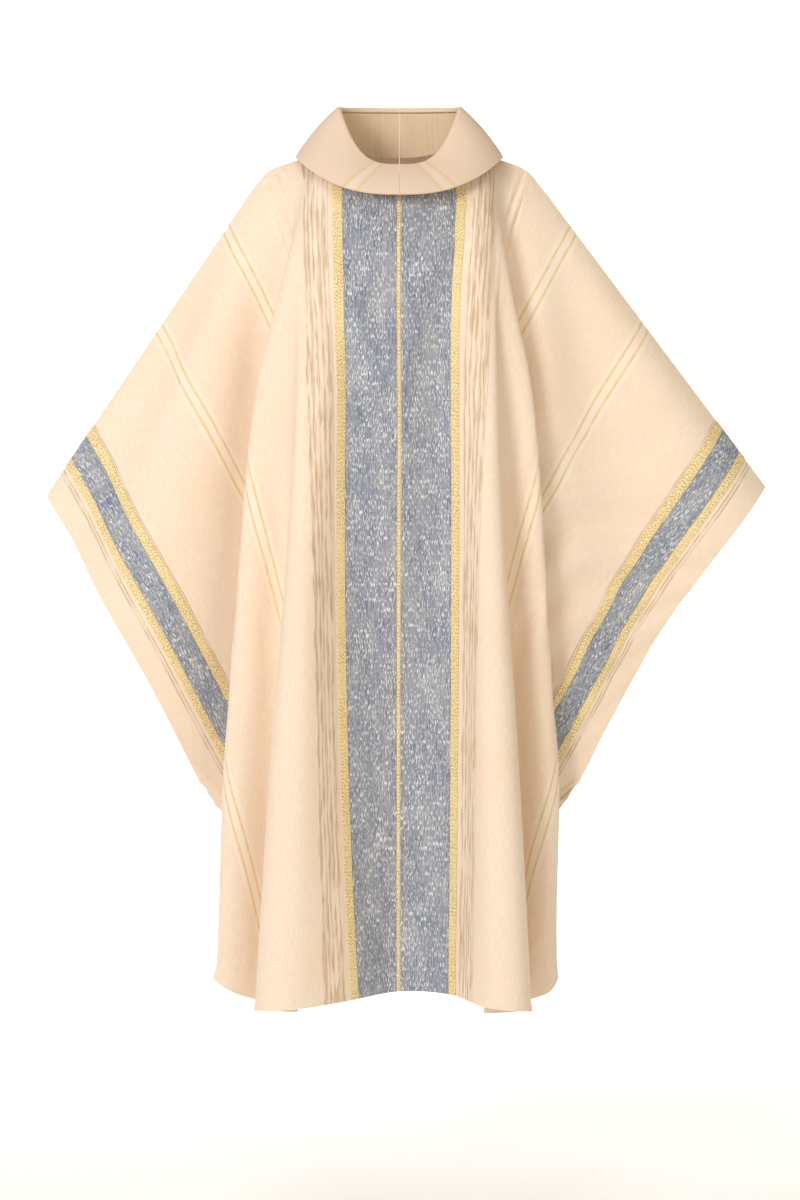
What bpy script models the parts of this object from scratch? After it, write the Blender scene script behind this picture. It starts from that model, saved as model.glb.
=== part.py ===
"""Chasuble: a full, poncho-cut church vestment, worn with the arms lowered.

Axes: metres, +Z up, the front faces -Y, the wearer's left is +X.
Origin: between the shoulders, on the centre line, at the height of the front of the collar's rim.

The garment is cut flat, so every cloth piece is placed by its flat position: u is the distance
from the centre line and v the distance down from the neck corner. The function `worn` bends that
flat cloth over the shoulders and into the two flutes that hang down each side of the front.
"""
import math

import bpy
from mathutils import Vector

# ---- the flat cut -----------------------------------------------------------
NECK_HALF = 0.105            # neck hole's half width
SHOULDER_CUT = math.radians(28)   # slope of the shoulder seam in the flat cut
SHOULDER_LENGTH = 0.103      # seam from the neck to the shoulder's tip
ARM_LENGTH = 0.600           # seam from the shoulder's tip to the sleeve hem
FRONT_NECK_DROP = 0.060
BACK_NECK_DROP = 0.030
SLEEVE_HEM_LENGTH = 0.600    # from the shoulder seam down to where the hem turns
FRONT_LENGTH = 1.283         # centre front, from the neck corner's level
BACK_LENGTH = 1.300
HEM_STRAIGHT = 0.360         # from here out the hem rounds up into the sleeve hem
HEM_DROP = 0.026             # the hem is this much lower there than at the centre line
CORNER_ROUND = 1.4           # roundness of the lower corner

# ---- as worn ----------------------------------------------------------------
ARM_SLOPE = math.radians(55)      # lowered arm, below the horizontal
SHOULDER_SLOPE = math.radians(17.5)
NECK_CORNER_Z = 0.015
SPLIT_LOW_U = 0.552          # u at the hem of the split between panel and wing, behind the outer flute
SPLIT_CLEARANCE = 0.022      # half the space left there
TIP_CLEARANCE = 0.003        # space left at the shoulder's tip, where the wing turns
HIDDEN_LIMIT_U = 0.585       # the hidden fold between flute and wing never goes further out than this
SEAM_BEND = 0.045            # length of seam over which the shoulder turns into the arm
CHEST_DEPTH = 0.112          # centre front, forward of the shoulder seam
CHEST_SWELL = 0.022          # how much further forward it is below the breast
BACK_DEPTH = 0.116
FRONT_FLUTE = 0.135          # how far each front flute stands out at the hem
BACK_FLUTE = 0.105
ROUND_OVER = 0.045           # drop over which the cloth turns from the shoulder's top to its fall
FOLD_START = 0.040           # drop below the shoulder seam where the folds begin
FOLD_FULL = 0.300            # drop where they have their full shape

# ---- fold lines: how fast each moves outwards, per metre of drop from the neck corner
INNER_FOLD = 0.121           # crest of the inner flute, in the flat cut
VALLEY_FOLD = 0.235          # bottom of the valley behind it
OUTER_FOLD = 0.345           # crest of the outer flute
HIDDEN_FOLD = 0.500          # hidden turn between the outer flute and the wing
INNER_FALL = 0.092           # crest of the inner flute, as worn
OUTER_FALL = 0.055           # crest of the outer flute, as worn, from the shoulder's tip
CREST_ROUND = 0.045          # flat width of the inner crest's rounded top, at the hem
TOP_DEPTHS = (0.130, 0.070, 0.050)   # depth of the valley, outer crest and hidden turn at the neck
HEM_DEPTHS = (0.145, 0.105, 0.046)   # the same at the hem

# ---- cloth and trim thicknesses --------------------------------------------
CLOTH = 0.0016
BAND = 0.0010
BRAID = 0.0012
GAP = 0.0004                 # left between pieces that touch
BAND_SPACE = 0.0010          # left between the edges of neighbouring bands
SEAM_GAP = 0.0008            # left between two cloth edges sewn together

# ---- bands of the orphrey, from the centre line -----------------------------
CENTRE_BRAID_HALF = 0.0024
BLUE_HALF = 0.083
ORPHREY_BRAID = 0.0145
IKAT_SPACE = 0.008
IKAT = 0.044

# ---- bands of the sleeve, from the sleeve hem -------------------------------
SLEEVE_OUTER_BRAID_AT = 0.049
SLEEVE_BRAID = 0.012
SLEEVE_BLUE = 0.0385

# ---- collar -----------------------------------------------------------------
RIM_HALF = 0.094             # half width of the head opening
RIM_FRONT_Y = 0.088          # the opening's reach to the front and to the back
RIM_BACK_Y = 0.072
RIM_FRONT_Z = -0.008
RIM_BACK_Z = 0.080
FLAP_HALF = 0.156            # half width over the collar's lower edge
FLAP_FRONT_Y = 0.148
FLAP_BACK_Y = 0.136
FLAP_FRONT_Z = -0.052
FLAP_SIDE_Z = 0.004
FLAP_BACK_Z = -0.012
COLLAR_SEAM_INSET = 0.014    # the neck seam lies this far inside the neck hole's half width
COLLAR_SEAM_FRONT_Z = -0.030
COLLAR_SEAM_SIDE_Z = 0.022
COLLAR_SEAM_BACK_Z = 0.004
RIM_TO_SEAM = 0.008          # the neck seam lies this far inside the rim, front and back
COLLAR_BULGE = 0.007
COLLAR_CLOTH = 0.0016
INTERLINING = 0.0010
TAPE = 0.0010
STAND_DROP = 0.004           # the inner stand ends this far below the rim's fold
COLLAR_END = 0.006           # angle left at the centre seams between the collar's halves

# ---- mesh fineness ----------------------------------------------------------
ROWS = 13
ROW_SPREAD = 1.35            # rows lie closer together near the shoulders
PANEL_FAN = 11
WING_FAN = 5
COLLAR_STEPS = 12
NAME = "chasuble"

COLOURS = {
    "cream_cloth": ((0.86, 0.70, 0.52), 0.85, 0.0),
    "blue_band": ((0.22, 0.28, 0.38), 0.70, 0.1),
    "gold_braid": ((0.62, 0.42, 0.12), 0.45, 0.6),
    "ikat_band": ((0.70, 0.52, 0.33), 0.85, 0.0),
    "collar_cloth": ((0.80, 0.63, 0.46), 0.85, 0.0),
    "lining": ((0.60, 0.43, 0.26), 0.90, 0.0),
}


# ---- small helpers ----------------------------------------------------------
def clamp01(t):
    return min(1.0, max(0.0, t))


def smooth(t):
    t = clamp01(t)
    return t * t * (3 - 2 * t)


def mix(a, b, t):
    return a + (b - a) * t


def through(knots, u, start_slope=None):
    """Smooth curve through the knots (u, value), flat at each turning point, with no overshoot."""
    if u <= knots[0][0]:
        return knots[0][1]
    if u >= knots[-1][0]:
        return knots[-1][1]
    slopes = [(b[1] - a[1]) / max(b[0] - a[0], 1e-6) for a, b in zip(knots, knots[1:])]
    tangents = [slopes[0] if start_slope is None else start_slope]
    for before, after in zip(slopes, slopes[1:]):
        same_way = before * after > 0
        tangents.append(2 * before * after / (before + after) if same_way else 0.0)
    tangents.append(slopes[-1])
    k = max(i for i in range(len(knots) - 1) if knots[i][0] <= u)
    (u0, f0), (u1, f1) = knots[k], knots[k + 1]
    span = max(u1 - u0, 1e-6)
    t = (u - u0) / span
    rise = f1 - f0
    d0 = tangents[k] * span
    d1 = tangents[k + 1] * span
    return f0 + d0 * t + (3 * rise - 2 * d0 - d1) * t * t + (d0 + d1 - 2 * rise) * t ** 3


# ---- the flat cut -----------------------------------------------------------
SEAM_TOTAL = SHOULDER_LENGTH + ARM_LENGTH
SLEEVE_AT = NECK_HALF + SEAM_TOTAL * math.cos(SHOULDER_CUT)    # u of the sleeve hem
TIP_U = NECK_HALF + SHOULDER_LENGTH * math.cos(SHOULDER_CUT)
TIP_V = SHOULDER_LENGTH * math.sin(SHOULDER_CUT)


def top_v(u, front):
    """Upper edge of the cut: the neck curve, then the shoulder seam."""
    if u < NECK_HALF:
        drop = FRONT_NECK_DROP if front else BACK_NECK_DROP
        return drop * (1 - (u / NECK_HALF) ** 2)
    return (u - NECK_HALF) * math.tan(SHOULDER_CUT)


def bottom_v(u, front):
    """Lower edge of the cut: the level hem, rounded up into the sleeve hem."""
    length = FRONT_LENGTH if front else BACK_LENGTH
    lowest = length + HEM_DROP * smooth(u / HEM_STRAIGHT)
    corner = top_v(SLEEVE_AT, front) + SLEEVE_HEM_LENGTH
    t = clamp01((u - HEM_STRAIGHT) / (SLEEVE_AT - HEM_STRAIGHT))
    return corner + (lowest - corner) * (1 - t ** CORNER_ROUND) ** (1 / CORNER_ROUND)


# ---- as worn ----------------------------------------------------------------
def seam_point(s):
    """Point (x, z) on the shoulder seam as worn, s along it from the neck corner."""
    bend = clamp01((s - SHOULDER_LENGTH) / SEAM_BEND + 0.5)
    corner = SEAM_BEND * bend * bend / 2
    straight = min(s, SHOULDER_LENGTH - SEAM_BEND / 2)
    beyond = max(0.0, s - SHOULDER_LENGTH - SEAM_BEND / 2)
    middle = SEAM_BEND * bend - corner
    x = NECK_HALF + (straight + middle) * math.cos(SHOULDER_SLOPE)
    x += (corner + beyond) * math.cos(ARM_SLOPE)
    z = NECK_CORNER_Z - (straight + middle) * math.sin(SHOULDER_SLOPE)
    z -= (corner + beyond) * math.sin(ARM_SLOPE)
    return x, z


TIP_X, TIP_Z = seam_point(SHOULDER_LENGTH)
DROP_TURN = ARM_SLOPE - SHOULDER_CUT       # how far the wing's cloth turns about the shoulder's tip


def wing_plane(u, v):
    """The wing's cloth, turned down about the shoulder's tip."""
    out, down = u - TIP_U, v - TIP_V
    x = TIP_X + out * math.cos(DROP_TURN) - down * math.sin(DROP_TURN)
    z = TIP_Z - out * math.sin(DROP_TURN) - down * math.cos(DROP_TURN)
    return x, z


def from_seam(u, v):
    """Position (x, z) of cloth close under the shoulder seam, before any fold begins."""
    s = (u - NECK_HALF) / math.cos(SHOULDER_CUT)
    down = v - max(0.0, u - NECK_HALF) * math.tan(SHOULDER_CUT)
    if s <= 0:
        return u, NECK_CORNER_Z - down
    x, z = seam_point(s)
    turn = DROP_TURN * smooth(s / (SHOULDER_LENGTH + SEAM_BEND))
    return x - down * math.sin(turn), z - down * math.cos(turn)


def fold_lines(v, front):
    """Flat u, worn x and worn depth of each fold line at level v, from the centre outwards."""
    share = v / FRONT_LENGTH
    flute = FRONT_FLUTE if front else BACK_FLUTE
    chest = CHEST_DEPTH + CHEST_SWELL * smooth(v / 0.5) if front else BACK_DEPTH
    inner_u = NECK_HALF + INNER_FOLD * v
    hidden_u = min(NECK_HALF + HIDDEN_FOLD * v, HIDDEN_LIMIT_U)
    inner_x = NECK_HALF + INNER_FALL * v
    outer_x = TIP_X + OUTER_FALL * v
    valley_x = mix(inner_x, outer_x, 0.45 * (1 - share)) - 0.070 * share ** 2
    peak = chest + flute * share ** 1.2
    crest = CREST_ROUND * share
    valley, outer, hidden = (mix(a, b, share) for a, b in zip(TOP_DEPTHS, HEM_DEPTHS))
    return [
        (0.0, 0.0, chest),
        (0.55 * inner_u, 0.58 * inner_x, chest + 0.25 * flute * share),
        (inner_u - crest, inner_x - 0.84 * crest, peak),
        (inner_u + crest / 3, inner_x, peak - 0.67 * crest),
        (NECK_HALF + VALLEY_FOLD * v, valley_x, valley),
        (NECK_HALF + OUTER_FOLD * v, outer_x, outer),
        (hidden_u, wing_plane(hidden_u, v)[0], hidden),
    ]


def folded(u, v, front):
    """Cloth well below the shoulder, with its flutes."""
    lines = fold_lines(v, front)
    outer_u = lines[-2][0]
    hidden_u, _, hidden_depth = lines[-1]
    plane_x, plane_z = wing_plane(u, v)
    if u >= hidden_u:
        ripple = 0.008 * smooth((u - hidden_u) / 0.1) * math.sin((u - hidden_u) / 0.05)
        return plane_x, hidden_depth + ripple, plane_z
    x = through([(k[0], k[1]) for k in lines], u)
    depth = through([(k[0], k[2]) for k in lines], u, 0.0)
    reach = math.hypot(u - NECK_HALF, v)
    drop = math.sqrt(max(reach ** 2 - (x - NECK_HALF) ** 2 - (0.5 * depth) ** 2, (0.8 * v) ** 2))
    near_wing = smooth((u - outer_u) / max(hidden_u - outer_u, 1e-6))
    return x, depth, mix(NECK_CORNER_Z - drop, plane_z, near_wing)


def worn(u, v, front):
    """Point of the cloth's inner face, on the wearer's left half, for a flat position (u, v)."""
    down = max(0.0, v - max(0.0, u - NECK_HALF) * math.tan(SHOULDER_CUT))
    near_x, near_z = from_seam(u, v)
    fold_x, depth, fold_z = folded(u, v, front)
    far = smooth((down - FOLD_START) / (FOLD_FULL - FOLD_START))
    y = depth * (1 - math.exp(-down / ROUND_OVER))
    return Vector((mix(near_x, fold_x, far), -y if front else y, mix(near_z, fold_z, far)))


# ---- columns of the cut: each is a straight line from the upper to the lower edge ----
ORPHREY_EDGE = BLUE_HALF + BAND_SPACE + ORPHREY_BRAID + IKAT_SPACE + IKAT


def edges(*widths):
    """Running sum of widths, as columns that keep their distance from the centre line."""
    total = 0.0
    found = []
    for width in widths:
        total += width
        found.append((total, total))
    return found


def body_columns():
    """(upper u, lower u) of each column of a body panel, from the centre line to the split."""
    braid = CENTRE_BRAID_HALF - SEAM_GAP / 2
    blue = (BLUE_HALF - CENTRE_BRAID_HALF - BAND_SPACE) / 2
    columns = edges(SEAM_GAP / 2, braid, BAND_SPACE, blue, blue, BAND_SPACE, ORPHREY_BRAID, IKAT_SPACE, IKAT)
    for i in range(1, PANEL_FAN + 1):
        t = i / PANEL_FAN
        columns.append((mix(ORPHREY_EDGE, TIP_U, t), mix(ORPHREY_EDGE, SPLIT_LOW_U - SPLIT_CLEARANCE, t)))
    return columns


def wing_columns():
    """(upper u, lower u) of each column of a wing, from the split to the sleeve hem."""
    bands = SLEEVE_BLUE + 2 * (SLEEVE_BRAID + BAND_SPACE) + SLEEVE_OUTER_BRAID_AT
    first = SLEEVE_AT - bands
    start_top = TIP_U + TIP_CLEARANCE
    start_low = SPLIT_LOW_U + SPLIT_CLEARANCE
    columns = []
    for i in range(WING_FAN):
        t = i / WING_FAN
        columns.append((mix(start_top, first, t), mix(start_low, first, t)))
    columns += edges(first, SLEEVE_BRAID, BAND_SPACE, SLEEVE_BLUE, BAND_SPACE, SLEEVE_BRAID,
                     SLEEVE_OUTER_BRAID_AT)
    return columns


def column_point(column, t, front):
    """Flat position (u, v) a share t of the way down a column."""
    top_u, low_u = column
    return mix(top_u, low_u, t), mix(top_v(top_u, front), bottom_v(low_u, front), t)


# ---- building meshes --------------------------------------------------------
def remove_scene_objects():
    for existing in list(bpy.data.objects):
        bpy.data.objects.remove(existing)


def make_collection(name):
    collection = bpy.data.collections.new(name)
    bpy.context.scene.collection.children.link(collection)
    return collection


def make_material(name):
    colour, roughness, metallic = COLOURS[name]
    material = bpy.data.materials.new(name)
    material.use_nodes = True
    shader = material.node_tree.nodes["Principled BSDF"]
    shader.inputs["Base Color"].default_value = (*colour, 1.0)
    shader.inputs["Roughness"].default_value = roughness
    shader.inputs["Metallic"].default_value = metallic
    return material


def cloth_piece(name, grid, thickness, material_name, parent, outward):
    """A sheet through a grid of points, thickened outwards by Solidify."""
    rows, count = len(grid), len(grid[0])
    points = [p for row in grid for p in row]
    faces = []
    for i in range(rows - 1):
        for j in range(count - 1):
            a = i * count + j
            b, c, d = a + 1, a + count + 1, a + count
            faces += [(a, b, c), (a, c, d)]
    if not outward:
        faces = [tuple(reversed(face)) for face in faces]
    mesh = bpy.data.meshes.new(name)
    mesh.from_pydata([tuple(p) for p in points], [], faces)
    mesh.validate()
    piece = bpy.data.objects.new(name, mesh)
    parts.objects.link(piece)
    piece.data.materials.append(make_material(material_name))
    solidify = piece.modifiers.new("thickness", "SOLIDIFY")
    solidify.thickness = thickness
    solidify.offset = 1.0
    mesh.shade_smooth()
    if parent is not None:
        piece.parent = parent
        piece.matrix_parent_inverse = parent.matrix_world.inverted()
    return piece


def quarter_grid(columns, front, side):
    """Worn points and mesh normals through the columns of one panel or wing."""
    points = []
    for i in range(ROWS + 1):
        share = (i / ROWS) ** ROW_SPREAD
        row = []
        for column in columns:
            u, v = column_point(column, share, front)
            point = worn(u, v, front)
            depth = point.y - SEAM_GAP / 2 if front else point.y + SEAM_GAP / 2
            row.append(Vector((side * point.x, depth, point.z)))
        points.append(row)
    return points, grid_normals(points, -side if front else side)


def grid_normals(points, turn):
    """Outward normal at each grid point, the mean of the triangles around it."""
    normals = [[Vector() for _ in row] for row in points]
    for i in range(len(points) - 1):
        for j in range(len(points[0]) - 1):
            for corners in grid_triangles(i, j):
                a, b, c = (points[r][k] for r, k in corners)
                face = (b - a).cross(c - a).normalized() * turn
                for r, k in corners:
                    normals[r][k] += face
    return [[n.normalized() for n in row] for row in normals]


def grid_triangles(i, j):
    """The two triangles of a grid cell, as (row, column) corners."""
    return (((i, j), (i, j + 1), (i + 1, j + 1)), ((i, j), (i + 1, j + 1), (i + 1, j)))


def raised(grid, first, last, lift):
    """Columns first to last of a grid, moved off the cloth along its normals."""
    points, normals = grid
    return [[p + n * lift for p, n in zip(row[first:last + 1], normal[first:last + 1])]
            for row, normal in zip(points, normals)]


def add_quarter(front, side, sleeve):
    """Body panel, wing and their bands for one quarter of the garment."""
    face = "front" if front else "back"
    hand = "left" if side > 0 else "right"
    outward = (side > 0) != front
    on_cloth = CLOTH + GAP
    body = quarter_grid(body_columns(), front, side)
    wing = quarter_grid(wing_columns(), front, side)
    last_body, last_wing = len(body[0][0]) - 1, len(wing[0][0]) - 1
    made = [
        ("panel", body, 0, last_body, 0.0, CLOTH, "cream_cloth", None),
        ("orphrey_blue", body, 2, 4, on_cloth, BAND, "blue_band", None),
        ("orphrey_braid", body, 5, 6, on_cloth, BRAID, "gold_braid", None),
        ("orphrey_ikat", body, 7, 8, on_cloth, BAND, "ikat_band", None),
        ("wing", wing, 0, last_wing, 0.0, CLOTH, "cream_cloth", sleeve),
        ("sleeve_inner_braid", wing, WING_FAN, WING_FAN + 1, on_cloth, BRAID, "gold_braid", sleeve),
        ("sleeve_blue", wing, WING_FAN + 2, WING_FAN + 3, on_cloth, BAND, "blue_band", sleeve),
        ("sleeve_outer_braid", wing, WING_FAN + 4, WING_FAN + 5, on_cloth, BRAID, "gold_braid", sleeve),
    ]
    for name, grid, first, last, lift, thickness, look, parent in made:
        sheet = raised(grid, first, last, lift)
        cloth_piece(f"{face}_{name}_{hand}", sheet, thickness, look, parent, outward)
    return [row[0] for row in raised(body, 1, 1, on_cloth)]


def add_centre_braid(front, edge):
    """The narrow braid over the centre seam, across both halves."""
    grid = [[Vector((-point.x, point.y, point.z)), point] for point in edge]
    face = "front" if front else "back"
    cloth_piece(f"{face}_centre_braid", grid, BRAID, "gold_braid", None, not front)


# ---- collar -----------------------------------------------------------------
def collar_rim(angle):
    """The head opening's folded rim; angle 0 is the centre front and 180 degrees the centre back."""
    front_half = math.cos(angle) > 0
    rise = abs(math.sin(angle)) ** 3 if front_half else 1.0
    reach = RIM_FRONT_Y if front_half else RIM_BACK_Y
    z = mix(RIM_FRONT_Z, RIM_BACK_Z, rise)
    return Vector((RIM_HALF * math.sin(angle), -reach * math.cos(angle), z))


def collar_edge(angle):
    """The turned-down flap's lower edge."""
    front_half = math.cos(angle) > 0
    rise = abs(math.sin(angle)) ** 2.6
    low = FLAP_FRONT_Z if front_half else FLAP_BACK_Z
    reach = FLAP_FRONT_Y if front_half else FLAP_BACK_Y
    z = mix(low, FLAP_SIDE_Z, rise)
    return Vector((FLAP_HALF * math.sin(angle), -reach * math.cos(angle), z))


def collar_seam(angle):
    """The seam that holds the collar to the neck hole, inside the flap."""
    front_half = math.cos(angle) > 0
    reach = (RIM_FRONT_Y if front_half else RIM_BACK_Y) - RIM_TO_SEAM
    low = COLLAR_SEAM_FRONT_Z if front_half else COLLAR_SEAM_BACK_Z
    z = mix(low, COLLAR_SEAM_SIDE_Z, math.sin(angle) ** 2)
    half = NECK_HALF - COLLAR_SEAM_INSET
    return Vector((half * math.sin(angle), -reach * math.cos(angle), z))


def collar_stand_top(angle):
    """Just inside and below the rim, where the inner stand meets the flap."""
    rim = collar_rim(angle)
    inward = Vector((-math.sin(angle), math.cos(angle), 0))
    return rim + inward * (COLLAR_CLOTH + INTERLINING + 3 * GAP) - Vector((0, 0, STAND_DROP))


def collar_grid(inner, outer, side, rows, bulge):
    """Points and normals of the loft between two collar curves, crowned between them."""
    points = []
    for i in range(COLLAR_STEPS + 1):
        angle = side * mix(COLLAR_END, math.pi - COLLAR_END, i / COLLAR_STEPS)
        a, b = inner(angle), outer(angle)
        away = Vector((math.sin(angle), -math.cos(angle), 0.6)).normalized()
        points.append([a.lerp(b, k / rows) + away * bulge * math.sin(math.pi * k / rows)
                       for k in range(rows + 1)])
    return points, grid_normals(points, -side)


def add_collar():
    """Each half of the collar: flap, interlining under it, inner stand, and tape over the neck seam."""
    for side, hand in ((1, "left"), (-1, "right")):
        flap = collar_grid(collar_rim, collar_edge, side, 4, COLLAR_BULGE)
        stand = collar_grid(collar_seam, collar_stand_top, side, 3, 0.0)
        made = (
            ("collar_flap", flap, 4, 0.0, COLLAR_CLOTH, "collar_cloth"),
            ("collar_interlining", flap, 4, -(INTERLINING + GAP), INTERLINING, "lining"),
            ("collar_stand", stand, 3, 0.0, COLLAR_CLOTH, "lining"),
            ("neck_tape", stand, 1, -(TAPE + GAP), TAPE, "lining"),
        )
        for name, grid, last, lift, thickness, look in made:
            cloth_piece(f"{name}_{hand}", raised(grid, 0, last, lift), thickness, look, None, side < 0)


remove_scene_objects()
parts = make_collection(NAME)
for wearer_side, wearer_hand in ((1, "left"), (-1, "right")):
    shoulder = bpy.data.objects.new(f"{wearer_hand}_shoulder_hinge", None)
    shoulder.location = (wearer_side * TIP_X, 0, TIP_Z + CLOTH)
    parts.objects.link(shoulder)
    bpy.context.view_layer.update()
    for is_front in (True, False):
        centre_edge = add_quarter(is_front, wearer_side, shoulder)
        if wearer_side > 0:
            add_centre_braid(is_front, centre_edge)
add_collar()
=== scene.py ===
"""Looks for the chasuble: woven cloth, bands, braids and collar, draped over an unseen wearer.

Every piece is placed by its flat position: u across the cut from the centre line and v down from
the neck corner. `fold_target` says where the folds hang, a cloth simulation lets the flat cut
settle there under its own weight, and all pieces are then cut from that one settled surface.
"""
import math

import bpy
import numpy as np
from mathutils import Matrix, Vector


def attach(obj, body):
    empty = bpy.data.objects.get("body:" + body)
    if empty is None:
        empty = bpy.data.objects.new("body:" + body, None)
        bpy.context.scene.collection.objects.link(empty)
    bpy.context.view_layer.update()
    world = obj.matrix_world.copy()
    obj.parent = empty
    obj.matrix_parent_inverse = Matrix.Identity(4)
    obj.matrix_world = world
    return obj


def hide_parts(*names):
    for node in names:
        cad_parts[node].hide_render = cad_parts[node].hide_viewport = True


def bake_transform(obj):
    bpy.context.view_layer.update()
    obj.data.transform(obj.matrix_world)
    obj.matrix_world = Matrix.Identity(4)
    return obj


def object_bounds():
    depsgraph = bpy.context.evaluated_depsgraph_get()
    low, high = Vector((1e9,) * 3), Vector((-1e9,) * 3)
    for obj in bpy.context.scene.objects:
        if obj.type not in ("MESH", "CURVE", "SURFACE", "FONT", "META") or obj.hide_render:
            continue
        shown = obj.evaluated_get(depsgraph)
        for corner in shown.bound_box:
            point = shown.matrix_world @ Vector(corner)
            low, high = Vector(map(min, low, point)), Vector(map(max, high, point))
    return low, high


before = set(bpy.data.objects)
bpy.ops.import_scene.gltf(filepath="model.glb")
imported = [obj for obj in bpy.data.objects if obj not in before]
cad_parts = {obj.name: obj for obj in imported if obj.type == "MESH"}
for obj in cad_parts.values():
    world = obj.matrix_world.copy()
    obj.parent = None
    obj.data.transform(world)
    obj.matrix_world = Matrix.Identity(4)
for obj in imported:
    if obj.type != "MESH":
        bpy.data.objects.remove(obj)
cad_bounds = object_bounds()

# ---- the flat cut, close to the one of the frame's solids --------------------
NECK_HALF = 0.105
SHOULDER_CUT = math.radians(28)
SHOULDER_LENGTH = 0.103
ARM_LENGTH = 0.600
NECK_DROP = {"front": 0.060, "back": 0.030}
LENGTH = {"front": 1.300, "back": 1.300}
SLEEVE_HEM_LENGTH = 0.600
HEM_STRAIGHT = 0.410
HEM_DROP = 0.012
CORNER_ROUND = 1.5

SLEEVE_AT = NECK_HALF + (SHOULDER_LENGTH + ARM_LENGTH) * math.cos(SHOULDER_CUT)
TIP_U = NECK_HALF + SHOULDER_LENGTH * math.cos(SHOULDER_CUT)
TIP_V = SHOULDER_LENGTH * math.sin(SHOULDER_CUT)

# ---- as worn ----------------------------------------------------------------
# The wearer's left arm is held a little higher, and its cloth is drawn in on the bias: worn slope of
# the sleeve's upper line below level, and of its hem from upright.
ARM_SLOPE = {"left": math.radians(52.8), "right": math.radians(55.6)}
HEM_SLOPE = {"left": math.radians(30.0), "right": math.radians(28.0)}
SHOULDER_BEND_AT = {"left": 0.094, "right": SHOULDER_LENGTH}
SHOULDER_SLOPE = math.radians(17.5)
NECK_CORNER_Z = 0.015
SEAM_BEND = 0.045
ROUND_OVER = 0.045
FOLD_START, FOLD_FULL = 0.040, 0.300
HIDDEN_LIMIT_U = 0.600
DEPTH = {"front": 0.112, "back": 0.116}
SWELL = {"front": 0.022, "back": 0.0}
FLUTE = {"front": 0.135, "back": 0.105}
INNER_FOLD, VALLEY_FOLD, OUTER_FOLD, HIDDEN_FOLD = 0.121, 0.258, 0.380, 0.520
CREST_ROUND = 0.045
VALLEY_UNDER = 0.060          # how far the valley reaches in behind the inner flute at the hem
TOP_DEPTHS = (0.114, 0.085, 0.045)      # of the valley, the outer flute and the hidden fold
HEM_DEPTHS = (0.098, 0.130, 0.046)
# The two sides don't hang alike: worn spread of the inner and outer flute per metre of drop,
# and where the outer flute starts beside the shoulder's tip.
INNER_FALL = {"left": 0.072, "right": 0.088}
OUTER_FALL = {"left": 0.059, "right": 0.084}
OUTER_START = {"left": -0.010, "right": 0.0}
# The middle of each half panel lies this share nearer the centre line than flat and this much
# further back where the left half turns away, then closes and comes forward towards the hem, so
# that the centre seam lies in a channel there.
MIDDLE_U = 0.083
MIDDLE_TURN = {"left": 0.09, "right": 0.0}
MIDDLE_BACK = {"left": 0.020, "right": 0.0}
MIDDLE_CLOSE = {"left": 0.10, "right": 0.42}
MIDDLE_RISE = {"left": 0.034, "right": 0.062}

# shallow folds that fan out from each shoulder's tip across the wing
WING_WAVE = {"left": 0.034, "right": 0.038}
FAN_RATE = 11
FAN_PHASE = {"left": 2.6, "right": -0.55}
BACK_FAN_PHASE = 0.9

# ---- how firmly the simulation keeps the cloth at its fold target, per step ---
HOLD_SHOULDER = 0.030         # at the shoulder seam, fading downwards
HOLD_WING = 0.012
HOLD_PANEL = 0.005
HOLD_INNER_CREST = 0.006
HOLD_OUTER_CREST = 0.022
HOLD_UPRIGHT = 0.0004
CREST_REACH = 0.03

# ---- bands ------------------------------------------------------------------
SEAM_HALF = 0.0004
CENTRE_BRAID_HALF = 0.0024
BLUE_HALF = 0.083
BAND_SPACE = 0.0010
ORPHREY_BRAID = 0.0145
IKAT_SPACE = 0.008
IKAT = 0.044
BRAID_IN = BLUE_HALF + BAND_SPACE
BRAID_OUT = BRAID_IN + ORPHREY_BRAID
IKAT_IN = BRAID_OUT + IKAT_SPACE
IKAT_OUT = IKAT_IN + IKAT
SLEEVE_BRAID = 0.012
SLEEVE_BLUE = 0.0385
SLEEVE_HEM_BAND = 0.049
OUTER_BRAID_IN = SLEEVE_AT - SLEEVE_HEM_BAND - SLEEVE_BRAID
SLEEVE_BLUE_IN = OUTER_BRAID_IN - BAND_SPACE - SLEEVE_BLUE
INNER_BRAID_IN = SLEEVE_BLUE_IN - BAND_SPACE - SLEEVE_BRAID
STRIPES_AT = (0.289, 0.451)     # centres of the woven stripe pairs

CLOTH = 0.0014
BAND_LIFT = 0.0018
BAND = 0.0008
SPLIT_LOW_U = 0.552

# ---- simulation -------------------------------------------------------------
PANEL_COLUMNS = (6, 18, 13, 4)   # columns of a half, between the knots of COLUMN_KNOTS
SIM_ROWS = 56
ROW_SPREAD = 1.15
FRAMES = 46
STEPS = 10                    # simulated steps in a frame of 1/60 s
STRAY = 0.018                 # how far the cloth may settle forwards or backwards of its target
MID_GAP = 0.0004              # kept between the front and back cloth and the plane between them
DAMPING = 0.965
TOP_SPEED = 1.5
GRAVITY = -9.8
SHEAR_GIVE = 2e-6
BEND_GIVES = ((2, 1.2e-4), (4, 2.5e-4))     # span in grid steps, and how softly it keeps its length
EVEN_OUT = 0.35
COLUMN_KNOTS = (
    (0.0, 0.0),
    (IKAT_OUT, IKAT_OUT),
    (TIP_U, SPLIT_LOW_U),
    (INNER_BRAID_IN, INNER_BRAID_IN),
    (SLEEVE_AT, SLEEVE_AT),
)


def clamp01(t):
    return min(1.0, max(0.0, t))


def smooth(t):
    t = clamp01(t)
    return t * t * (3 - 2 * t)


def mix(a, b, t):
    return a + (b - a) * t


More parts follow.
